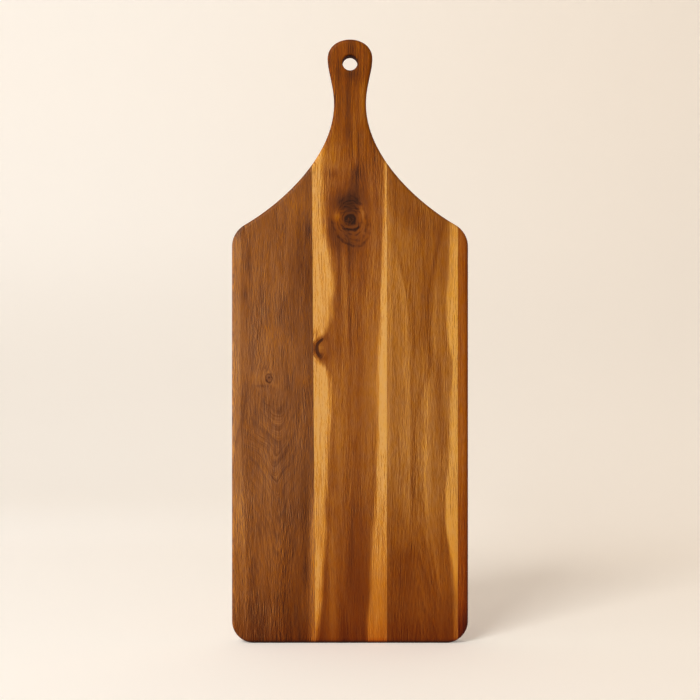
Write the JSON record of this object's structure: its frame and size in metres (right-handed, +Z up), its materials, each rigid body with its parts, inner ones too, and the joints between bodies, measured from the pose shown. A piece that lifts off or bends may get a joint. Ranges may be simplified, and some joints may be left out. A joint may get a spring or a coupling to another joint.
{
  "type": "paddle charcuterie board",
  "caption": "Flat wooden serving board, edge-glued from staves, with sloping shoulders that sweep into a short flared handle drilled with a hanging hole; all edges rounded over.",
  "frame": {"origin": "middle of the base edge that the board stands on, half way through its thickness", "axes": "+Z up along the grain to the top of the handle, +X to the right seen from the serving face, +Y through the thickness from the serving face to the back"},
  "size_m": [0.1994, 0.015, 0.51],
  "materials": {
    "dark_heartwood": "sanded and oiled, satin",
    "streaked_heartwood": "sanded and oiled, satin",
    "pale_heartwood": "sanded and oiled, satin",
    "red_heartwood": "sanded and oiled, satin",
    "cured_glue": "cured wood glue, sanded flush"
  },
  "bodies": {
    "root": {"left_stave": "dark_heartwood", "handle_stave": "streaked_heartwood", "right_stave": "pale_heartwood", "edge_strip": "red_heartwood", "left_glue_line": "cured_glue", "middle_glue_line": "cured_glue", "right_glue_line": "cured_glue"}
  },
  "joints": []
}
